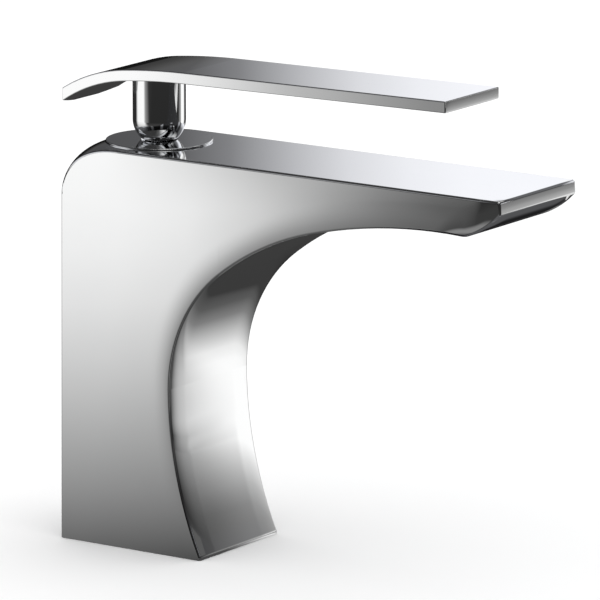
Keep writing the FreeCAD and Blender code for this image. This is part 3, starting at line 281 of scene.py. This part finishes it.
def bearing(finish, x, y):
    """Degrees round the faucet: 0 behind it as the camera sees it, plus to the left."""
    backward = x * -SIN_VIEW + y * COS_VIEW
    leftward = x * -COS_VIEW + y * -SIN_VIEW
    turn = finish.add("ShaderNodeMath", {"operation": "ARCTAN2"}, {0: leftward, 1: backward})
    return turn * math.degrees(1.0)


print("bearings start behind the faucet")

# %% [markdown]
# The side face is a flat mirror as tall as a hand. Its foot mirrors the table close by and its top
# mirrors the table far away, so a sheet that grows brighter with distance makes the side grow
# lighter upwards, as it does in the photograph. The sheet's inner edge is soft. Where the side rolls
# off towards the arch it mirrors that edge, and darkens.

# %% Left sheet
NEAREST_OUT = 0.02


def left_sheet(finish, x, y):
    out = along_mirror(x, y) * -1.0
    across = beside_mirror(x, y)
    glow = finish.tone(out, [(0.0, 0.08), (0.1, 0.27), (0.2, 0.44), (0.3, 0.61), (0.4, 0.76),
                             (0.5, 0.86), (0.62, 0.93), (0.8, 0.97)])
    near = finish.tone(across, [(0.0, 1.0), (0.027, 0.92), (0.056, 0.69), (0.086, 0.37),
                                (0.106, 0.22), (0.126, 0.13), (0.17, 0.02)])
    far = finish.tone(across, [(-0.01, 1.0), (0.019, 0.82), (0.039, 0.66), (0.058, 0.51),
                               (0.078, 0.44), (0.098, 0.35), (0.12, 0.26), (0.17, 0.22),
                               (0.22, 0.17), (0.28, 0.09), (0.34, 0.03)])
    share = finish.tone(out, [(0.58, 0.0), (0.68, 1.0)])
    inner = near * (1.0 - share) + far * share
    outer = finish.tone(across / out.most(NEAREST_OUT), [(-1.15, 0.0), (-0.9, 0.6), (-0.7, 1.0)])
    return glow * inner * outer


print("left sheet is ready")

# %% [markdown]
# The arch is a bowed mirror: its upper part looks down at the table beside the spout, its waist
# looks far along the table, and its foot looks up the wall. A second sheet lies there. It begins
# softly at a line across the table, which gives the arch its dark top. Its left edge fades from a
# bright strip to grey, faster the farther it lies from the faucet, so the arch is lighter along its
# far side.

# %% Right sheet
def right_sheet(finish, x, y):
    out = along_mirror(x, y)
    angle = beside_mirror(x, y) / out.most(NEAREST_OUT)
    glow = finish.tone(x, [(-0.01, 0.0), (0.02, 0.05), (0.04, 0.1), (0.055, 0.21), (0.072, 0.48),
                           (0.095, 0.83), (0.12, 0.96), (0.15, 1.0)])
    near = finish.tone(angle, [
        (0.04, 1.0), (0.06, 0.95), (0.078, 0.86), (0.09, 0.78), (0.1, 0.72), (0.11, 0.64),
        (0.125, 0.56), (0.19, 0.47), (0.245, 0.36), (0.285, 0.26), (0.32, 0.17), (0.35, 0.08),
        (0.42, 0.02)])
    middle = finish.tone(angle, [
        (0.055, 1.0), (0.065, 0.93), (0.074, 0.79), (0.083, 0.67), (0.091, 0.59), (0.097, 0.5),
        (0.104, 0.42), (0.166, 0.34), (0.215, 0.25), (0.248, 0.19), (0.281, 0.12), (0.31, 0.07),
        (0.37, 0.02)])
    farthest = finish.tone(angle, [
        (0.047, 1.0), (0.054, 0.91), (0.059, 0.79), (0.0655, 0.6), (0.071, 0.49), (0.077, 0.35),
        (0.085, 0.31), (0.143, 0.25), (0.193, 0.19), (0.229, 0.15), (0.263, 0.11), (0.288, 0.08),
        (0.353, 0.03)])
    far_share = finish.tone(out, [(0.5, 0.0), (0.61, 0.2), (0.7, 0.4), (0.8, 0.58), (0.98, 0.85),
                                  (1.2, 1.0)])
    far = middle * (1.0 - far_share) + farthest * far_share
    share = finish.tone(out, [(0.36, 0.0), (0.5, 1.0)])
    outer = finish.tone(angle, [(-0.68, 0.03), (-0.56, 0.25), (-0.46, 0.6), (-0.36, 1.0)])
    return glow * (near * (1.0 - share) + far * share) * outer


print("right sheet is ready")

# %% [markdown]
# The rest of the table is dark card, which draws the dark lines along the faucet's edges. Faces that
# the portrait doesn't show would mirror nothing but that dark card, so a few narrow windows of light
# are left in it, too narrow to break those lines. A strip of white lights the arch's foot, a black
# band keeps the slope under the lip dark, and a soft sheet at the rear lights the far side.

# %% Dark card with windows of light
TABLE_WINDOWS = (-169.5, -124.5, 10.5, 145.5)
WINDOW_HALF = 8.0
WINDOW_CORE = 3.0
WINDOW_GLOW = 0.85
BAND_LEAN = 0.655


def side_windows(bearings):
    """Stops of narrow light windows, for the sides that the portrait doesn't show."""
    stops = [(-180.0, 0.0)]
    for middle in bearings:
        stops += [(middle - WINDOW_HALF, 0.0), (middle - WINDOW_CORE, WINDOW_GLOW),
                  (middle + WINDOW_CORE, WINDOW_GLOW), (middle + WINDOW_HALF, 0.0)]
    return stops + [(180.0, 0.0)]


def dark_table(finish, x, y):
    """Dark card with its windows and a black band under the spout."""
    reach = (x * x + y * y).root()
    windows = finish.tone(bearing(finish, x, y), side_windows(TABLE_WINDOWS))
    windows = windows * finish.tone(reach, [(0.03, 0.0), (0.1, 0.15), (0.2, 0.28), (0.3, 0.24),
                                            (0.38, 0.0)])
    dim = finish.tone(reach, [(0.0, 0.042), (0.46, 0.042), (0.62, 0.02), (1.2, 0.03)])
    band = finish.tone(x + y * BAND_LEAN, [(0.081, 0.0), (0.116, 0.75), (0.191, 0.75),
                                           (0.211, 0.0)])
    band = band * finish.tone(y, [(0.16, 0.0), (0.2, 1.0)])
    return windows.most(dim * (1.0 - band))


def foot_sheet(finish, x, y):
    """A strip of white in front of the arch's foot."""
    length = finish.tone(y, [(-0.01, 0.0), (0.004, 0.2), (0.022, 0.8), (0.04, 0.0)])
    return length * finish.tone(x, [(0.03, 0.0), (0.033, 1.0), (0.037, 0.8), (0.044, 0.0)])


def rear_sheet(finish, x, y):
    """A soft sheet for the far side, where nothing that faces the camera mirrors it."""
    width = finish.tone(x, [(-0.09, 0.0), (-0.05, 1.0), (0.05, 1.0), (0.09, 0.0)])
    return width * finish.tone(y, [(0.33, 0.0), (0.4, 0.45), (0.48, 0.6), (0.56, 0.0)])


print("windows of light at", TABLE_WINDOWS, "degrees")

# %% [markdown]
# All of these could be separate pieces of card, but pieces that overlap on one table would flicker.
# They are drawn on one round sheet instead, where the brightest of them wins.

# %% Table of sheets and cards
CARD_RADIUS = 1.2
TABLE_Z = -0.0005


def table_sheets_finish():
    finish = Finish("table_sheets")
    x, y, _ = finish.axes(finish.where())
    sheets = left_sheet(finish, x, y).most(right_sheet(finish, x, y))
    cards = foot_sheet(finish, x, y).most(dark_table(finish, x, y))
    cards = cards.most(rear_sheet(finish, x, y))
    return glowing(finish, sheets.most(cards))


table_sheets = flat_stage("table_sheets", CARD_RADIUS, TABLE_Z)
table_sheets.data.materials.append(table_sheets_finish())
only_in_reflections(table_sheets)
print("sheets on a table of", CARD_RADIUS, "m radius")

# %% [markdown]
# The tops of the lever and the spout mirror the wall behind the faucet, above the table. There a
# white panel ends in a soft edge, straight behind the faucet, so both tops run from dark at the
# rear to white at their ends. The right sheet climbs the wall a little way, for the arch's foot, and
# the windows of light are repeated higher up. A cylinder without ends is wall enough. It reaches
# past the table and the ceiling, so no light slips through the joint.

# %% Wall of panels
CARD_HEIGHT = 1.2
WALL_SIDES = 160
WALL_OVERLAP = 0.004
WALL_WINDOWS = (-169.5, -124.5, -79.5, 145.5)
WALL_WINDOW_SHARE = 0.5
CLIMB_EDGE = 71.4
CLIMB_LEAN = 1.6


def climbing_sheet(finish, turn, z):
    """The right sheet where it climbs the wall, brighter towards the back."""
    lean = finish.tone(z, [(0.07, 0.0), (0.14, 0.12), (0.21, 0.5), (0.3, 1.0)])
    past_edge = turn - lean * CLIMB_LEAN + CLIMB_EDGE
    climb = finish.tone(past_edge, [
        (-16.0, 0.05), (-13.5, 0.08), (-12.0, 0.11), (-8.7, 0.175), (-6.7, 0.21), (-3.8, 0.26),
        (0.0, 0.31), (0.4, 0.46), (0.8, 0.64), (1.3, 0.88), (2.0, 0.98), (12.0, 1.0)])
    climb = climb * finish.tone(turn, [(-40.0, 1.0), (-20.0, 0.0)])
    return climb * finish.tone(z, [(0.0, 1.06), (0.07, 0.74), (0.14, 0.48), (0.21, 0.32),
                                   (0.26, 0.26), (0.35, 0.18), (0.5, 0.0)])


def wall_cards_finish():
    finish = Finish("wall_cards")
    x, y, z = finish.axes(finish.where())
    turn = bearing(finish, x - TABLE_CENTRE[0], y - TABLE_CENTRE[1])
    panels = finish.tone(turn, [
        (-180.0, 0.02), (-125.0, 0.03), (-90.0, 0.04), (-68.0, 0.08), (-60.0, 0.5), (-52.0, 0.95),
        (-5.0, 0.94), (-4.0, 0.92), (-3.0, 0.87), (-2.0, 0.79), (-1.0, 0.65), (0.0, 0.47),
        (1.0, 0.28), (2.0, 0.14), (3.0, 0.09), (8.0, 0.07), (45.0, 0.06), (65.0, 0.6), (100.0, 0.7),
        (122.0, 0.12), (140.0, 0.02), (180.0, 0.02)])
    windows = finish.tone(turn, side_windows(WALL_WINDOWS)) * WALL_WINDOW_SHARE
    panels = panels.most(windows * finish.tone(z, [(0.38, 0.0), (0.44, 1.0)]))
    band = finish.tone(z, [(0.0, 0.05), (0.18, 0.1), (0.3, 1.0), (0.52, 1.0), (0.72, 0.2),
                           (1.2, 0.05)])
    white = finish.colour(finish.tone(z, [(0.26, 0.0), (0.36, 1.0)]), WARM_WHITE, COOL_WHITE)
    return glowing(finish, (panels * band).most(climbing_sheet(finish, turn, z)), white)


bpy.ops.object.select_all(action="DESELECT")
bpy.ops.mesh.primitive_cylinder_add(vertices=WALL_SIDES, radius=CARD_RADIUS,
                                    depth=CARD_HEIGHT + WALL_OVERLAP, end_fill_type="NOTHING",
                                    location=(*TABLE_CENTRE, CARD_HEIGHT / 2))
bpy.ops.object.transform_apply(location=True)
wall_cards = bpy.context.active_object
wall_cards.name = "wall_cards"
wall_cards.data.materials.append(wall_cards_finish())
only_in_reflections(wall_cards)
print("wall of panels, up to", CARD_HEIGHT, "m")

# %% [markdown]
# Seen from higher up, the tops mirror what hangs over the faucet. One card with a broad soft light
# in it closes the room, brightest out to the right, where a window would be.

# %% Card overhead
def ceiling_card_finish():
    finish = Finish("ceiling_card")
    x, y, _ = finish.axes(finish.where())
    sideways = x * COS_VIEW + y * SIN_VIEW
    return glowing(finish, finish.tone(sideways, [(-0.3, 0.04), (0.0, 0.12), (0.2, 0.5),
                                                  (0.45, 0.8), (0.8, 0.5), (1.1, 0.1)]))


ceiling_card = flat_stage("ceiling_card", CARD_RADIUS, CARD_HEIGHT)
ceiling_card.data.materials.append(ceiling_card_finish())
only_in_reflections(ceiling_card)
print("card overhead at", CARD_HEIGHT, "m")

# %% [markdown]
# The flat ends of the spout and the lever would mirror nothing but the gap between two sheets. A
# photographer holds one more small card beside them. It lies level, just lower than the spout's
# lip, and fades away from the faucet, so both ends turn from light at the bottom to dark at the
# top. The lever's end is mirrored from a strip of its own, where the fade starts elsewhere. The
# card is a cube pressed flat, and its underside is dim, like the table that it hides.

# %% Small card for the lip and the lever's end
CARD_THICKNESS = 0.001
UNDERSIDE_GLOW = 0.1
LIP_CARD_OUT = 0.2775
LIP_CARD_ACROSS = 0.111
LIP_CARD_Z = 0.115
LIP_CARD_SIZE = (0.054, 0.325)
LIP_MIDDLE_ACROSS = 0.12
FADE_SLANT = 1.8
LEVER_FADE_SHIFT = 0.1016


def small_card(name, spot, turn, size, material):
    """A thin level card round its spot, turned about the upright axis."""
    bpy.ops.object.select_all(action="DESELECT")
    bpy.ops.mesh.primitive_cube_add(size=1.0, location=spot, rotation=(0.0, 0.0, turn))
    card = bpy.context.active_object
    card.name = name
    card.scale = (*size, CARD_THICKNESS)
    bpy.ops.object.transform_apply(location=True, rotation=True, scale=True)
    card.data.materials.append(material)
    only_in_reflections(card)
    print(name, "of", size[0], "by", size[1], "m")


def lit_from_above(finish, z, card_z, tone):
    """The tone on a card's upper face, and a dim glow below it."""
    top = finish.tone(z - card_z, [(0.0, 0.0), (CARD_THICKNESS / 4, 1.0)])
    return tone * top + (1.0 - top) * UNDERSIDE_GLOW


def lip_card_finish():
    finish = Finish("lip_card")
    x, y, z = finish.axes(finish.where())
    across = beside_mirror(x, y)
    for_lever = finish.tone(across, [(0.1058, 1.0), (0.1066, 0.0)])
    slanted = along_mirror(x, y) + (across - LIP_MIDDLE_ACROSS) * FADE_SLANT
    fade = finish.tone(slanted - for_lever * LEVER_FADE_SHIFT, [
        (0.13, 0.75), (0.154, 0.58), (0.165, 0.43), (0.173, 0.36), (0.199, 0.255), (0.239, 0.165),
        (0.306, 0.085), (0.4, 0.05)])
    return glowing(finish, lit_from_above(finish, z, LIP_CARD_Z, fade))


lip_card_spot = (LIP_CARD_OUT * SIN_VIEW + LIP_CARD_ACROSS * COS_VIEW,
                 LIP_CARD_OUT * COS_VIEW - LIP_CARD_ACROSS * SIN_VIEW, LIP_CARD_Z)
small_card("lip_card", lip_card_spot, -VIEW_AZIMUTH, LIP_CARD_SIZE, lip_card_finish())

# %% [markdown]
# Below the lip the spout is cut back, and that slope looks down at the table, where the bright right
# sheet lies. It has to stay dark, from grey under the lip to black at the chin, so a dark card lies
# between. Its rim is clear, so it ends softly wherever another face mirrors it.

# %% Dark card under the spout
DARK_CARD_Z = 0.075
DARK_CARD_SPOT = (0.1315, 0.025, DARK_CARD_Z)
DARK_CARD_SIZE = (0.127, 0.25)


def dark_card_finish():
    finish = Finish("dark_card")
    x, y, z = finish.axes(finish.where())
    fade = finish.tone(x, [(0.098, 0.01), (0.108, 0.02), (0.118, 0.08), (0.165, 0.095),
                           (0.195, 0.3)])
    cover = finish.tone(x, [(0.07, 0.0), (0.09, 1.0), (0.18, 1.0), (0.195, 0.0)])
    cover = cover * finish.tone(y, [(-0.1, 0.0), (-0.07, 1.0), (0.12, 1.0), (0.15, 0.0)])
    return glowing(finish, lit_from_above(finish, z, DARK_CARD_Z, fade), COOL_WHITE, cover)


small_card("dark_card", DARK_CARD_SPOT, 0.0, DARK_CARD_SIZE, dark_card_finish())

# %% [markdown]
# Chrome plating is a hard mirror over polished brass. Its colour is a very light grey, a little
# cooler than silver, and no plating is perfect: there is a breath of haze on it, and fine wiping
# marks from the last polish. Both change how sharp the mirror is, and the haze shifts its grey too.

# %% Polished chrome
MM = 1000.0
POLISH_ROUGHNESS = 0.03
HAZE_ROUGHNESS = 0.018
WIPE_ROUGHNESS = 0.01


def chrome_surface(finish, place, height=None):
    haze = finish.add("ShaderNodeTexNoise", None,
                      {"Vector": place, "Scale": 38.0, "Detail": 4.0, "Roughness": 0.6})
    wipe = finish.add("ShaderNodeTexNoise", None,
                      {"Vector": place, "Scale": 900.0, "Detail": 2.0, "Roughness": 0.5})
    colour = finish.colour(haze, (0.865, 0.875, 0.888, 1.0), (0.905, 0.91, 0.917, 1.0))
    rough = POLISH_ROUGHNESS + haze * HAZE_ROUGHNESS + wipe * WIPE_ROUGHNESS
    sockets = {"Base Color": colour, "Metallic": 1.0, "Roughness": rough}
    if height is not None:
        sockets["Normal"] = finish.add("ShaderNodeBump", None,
                                       {"Strength": 1.0, "Distance": 1.0 / MM, "Height": height})
    return finish.close(finish.add("ShaderNodeBsdfPrincipled", None, sockets))


def trim_chrome():
    finish = Finish("polished_trim_chrome")
    return chrome_surface(finish, finish.where())


print("chrome is ready, its mirror", POLISH_ROUGHNESS, "rough")

# %% [markdown]
# The casting is polished before it is plated, and the buffing wheel rounds every edge of the arch a
# little more than the mould did: the flat sides roll off softly over the last few millimetres. The
# roll-off is far too gentle to see in the outline but it bends reflections, so it is a bump whose
# height falls away near the edge, worked out from the same arcs as the arch itself.

# %% How far the arch's edges are, in millimetres
WAIST_Z = 56.2
THROAT_END_X = 39.65
MIDDLE_END_X = 74.6
CHIN_X = 134.8
PAST_CHIN_PUSH = 0.05
ARCH_ARCS = {
    "lower": (152.5, 56.2, 132.8),
    "throat": (71.2, 56.2, 51.5),
    "middle": (101.59, 17.00, 101.1),
    "spout": (123.90, -63.57, 184.7),
}
UNDERCUT_ARC = (125.06, 151.29, 32.0)


def from_centre(x, z, centre_x, centre_z):
    across = x - centre_x
    up = z - centre_z
    return (across * across + up * up).root()


def arch_distance(x, z):
    """Millimetres from a point of the side face to the arched edge."""
    away = {}
    for part, (centre_x, centre_z, radius) in ARCH_ARCS.items():
        away[part] = from_centre(x, z, centre_x, centre_z) - radius
    low = z.below(WAIST_Z)
    before_throat_end = x.below(THROAT_END_X)
    before_middle_end = x.below(MIDDLE_END_X)
    front = before_middle_end * away["middle"] + (1.0 - before_middle_end) * away["spout"]
    upper = before_throat_end * away["throat"] + (1.0 - before_throat_end) * front
    return abs(low * away["lower"] + (1.0 - low) * upper)


def undercut_distance(x, z):
    """Millimetres from a point of the side face to the edge between chin and lip."""
    centre_x, centre_z, radius = UNDERCUT_ARC
    past_chin = (CHIN_X - x).most(0.0)
    away = abs(radius - from_centre(x, z, centre_x, centre_z))
    return away + past_chin * past_chin * PAST_CHIN_PUSH


print("the arch has", len(ARCH_ARCS), "arcs")

# %% [markdown]
# Three edges roll off: along the arch, along the slope under the lip, and down the lip's own sides.
# Taking the nearest of the three would leave a crease where they meet, so their drops are added,
# each as the cube of its nearness, which starts without a kink. The lip's face itself stays flat.

# %% Body and lever chrome
HALF_WIDTH = 22.5
TIP_X = 148.4
LIP_FROM_X = 140.0
ROLL_WIDTH = 10.0
ROLL_DROP = 0.41
LEVER_TIP_BOTTOM_Z = 158.6
LEVER_CROWN_RADIUS = 90.0


def rolled(from_edge, from_side):
    """1 on the sharp edge, falling to 0 where the roll-off begins."""
    from_corner = (from_edge * from_edge + from_side * from_side).root()
    near_edge = (1.0 - from_corner / ROLL_WIDTH).kept_in(0.0, 1.0)
    return near_edge * near_edge * near_edge


def body_chrome():
    finish = Finish("polished_body_chrome")
    place = finish.where()
    x, y, z = [axis * MM for axis in finish.axes(place)]
    flat_lip = (x - LIP_FROM_X).most(0.0) * finish.facing_front()
    from_side = HALF_WIDTH - abs(y) + flat_lip
    roll = rolled(arch_distance(x, z), from_side) + rolled(undercut_distance(x, z), from_side)
    roll = roll + rolled(TIP_X - x, from_side)
    return chrome_surface(finish, place, roll * -ROLL_DROP)


def lever_chrome():
    """Chrome with a slight crown on the lever's end face."""
    finish = Finish("polished_lever_chrome")
    place = finish.where()
    rise = (finish.axes(place)[2] * MM - LEVER_TIP_BOTTOM_Z).most(0.0)
    crown = rise * rise * finish.facing_front() * (-0.5 / LEVER_CROWN_RADIUS)
    return chrome_surface(finish, place, crown)


print("the body's chrome rolls off over", ROLL_WIDTH, "mm")

# %% [markdown]
# Inside, the faucet is a stack of plain engineering materials, which show only when it is taken
# apart. The cartridge nut is turned brass, and the spindle, pin, screw and screen are stainless
# steel. A lathe leaves fine rings, so a sine of the distance from the axis gives the bump.

# %% Turned brass and stainless steel
MATT_PATCHES = 0.12


def turned_metal(name, light, dark, groove_pitch, rough):
    """Bar stock off a lathe: fine rings round the vertical axis, and a slightly cloudy colour."""
    finish = Finish(name)
    place = finish.where()
    x, y, z = finish.axes(place)
    cloud = finish.add("ShaderNodeTexNoise", None, {"Vector": place, "Scale": 120.0, "Detail": 4.0})
    reach = (x * x + y * y).root()
    rings = finish.add("ShaderNodeMath", {"operation": "SINE"},
                       {0: (reach + z) * (2.0 * math.pi / groove_pitch)})
    colour = finish.colour(cloud, dark, light)
    bump = finish.add("ShaderNodeBump", None,
                      {"Strength": 0.35, "Distance": 0.00003, "Height": rings + cloud})
    return finish.close(finish.add("ShaderNodeBsdfPrincipled", None, {
        "Base Color": colour, "Metallic": 1.0, "Roughness": rough + cloud * MATT_PATCHES,
        "Normal": bump}))


brass = turned_metal("turned_brass", (0.83, 0.66, 0.33, 1.0), (0.72, 0.53, 0.24, 1.0), 0.0004, 0.2)
steel = turned_metal("stainless_steel", (0.74, 0.74, 0.73, 1.0), (0.6, 0.6, 0.6, 1.0), 0.0003, 0.18)
print("turned metals:", brass.name, steel.name)

# %% [markdown]
# The discs that meter the water are white ceramic, lapped almost smooth. The cartridge around them
# is moulded grey plastic, and the seals are black rubber. All three come out of a mould, so one
# recipe serves them: a cloudy colour with fine specks, and the specks again as a shallow grain.

# %% Ceramic, moulded plastic and rubber
CLOUD_SHARE = 0.6
SPECK_SHARE = 0.4


def moulded(name, light, dark, rough, grain, depth):
    finish = Finish(name)
    place = finish.where()
    cloud = finish.add("ShaderNodeTexNoise", None, {"Vector": place, "Scale": 60.0, "Detail": 5.0})
    speck = finish.add("ShaderNodeTexNoise", None, {"Vector": place, "Scale": grain, "Detail": 2.0})
    colour = finish.colour(cloud * CLOUD_SHARE + speck * SPECK_SHARE, dark, light)
    bump = finish.add("ShaderNodeBump", None,
                      {"Strength": 0.5, "Distance": depth, "Height": speck})
    return finish.close(finish.add("ShaderNodeBsdfPrincipled", None, {
        "Base Color": colour, "Roughness": rough + speck * MATT_PATCHES, "Normal": bump}))


ceramic = moulded("white_ceramic", (0.9, 0.89, 0.86, 1.0), (0.78, 0.77, 0.74, 1.0),
                  0.12, 2500.0, 0.00001)
plastic = moulded("moulded_grey_plastic", (0.5, 0.52, 0.54, 1.0), (0.38, 0.4, 0.42, 1.0),
                  0.38, 1800.0, 0.00004)
rubber = moulded("seal_rubber", (0.035, 0.035, 0.037, 1.0), (0.015, 0.015, 0.016, 1.0),
                 0.55, 1200.0, 0.00005)
print("moulded finishes:", ceramic.name, plastic.name, rubber.name)

# %% [markdown]
# Now every piece gets the finish that it has on the real faucet. The solids come with a plain
# material, which is taken off first. The list at the end shows any piece that was forgotten.

# %% Dress every piece
NODE_FINISHES = {
    body_chrome(): ["body"],
    lever_chrome(): ["lever_plate"],
    trim_chrome(): ["cover_ring", "lever_post", "screw_plug", "aerator_housing"],
    brass: ["cartridge_nut"],
    steel: ["spindle", "set_screw", "pivot_pin", "aerator_screen"],
    ceramic: ["moving_disc", "fixed_disc"],
    plastic: ["turning_sleeve", "glide_ring", "disc_driver", "cartridge_base",
              "cartridge_housing", "aerator_insert"],
    rubber: ["sleeve_o_ring", "disc_seals", "inlet_seals", "housing_o_ring", "aerator_washer",
             "base_gasket"],
}
dressed = set()
for finish, names in NODE_FINISHES.items():
    for name in names:
        nodes[name].data.materials.clear()
        nodes[name].data.materials.append(finish)
        dressed.add(name)
print("dressed", len(dressed), "pieces, bare:", sorted(set(nodes) - dressed))
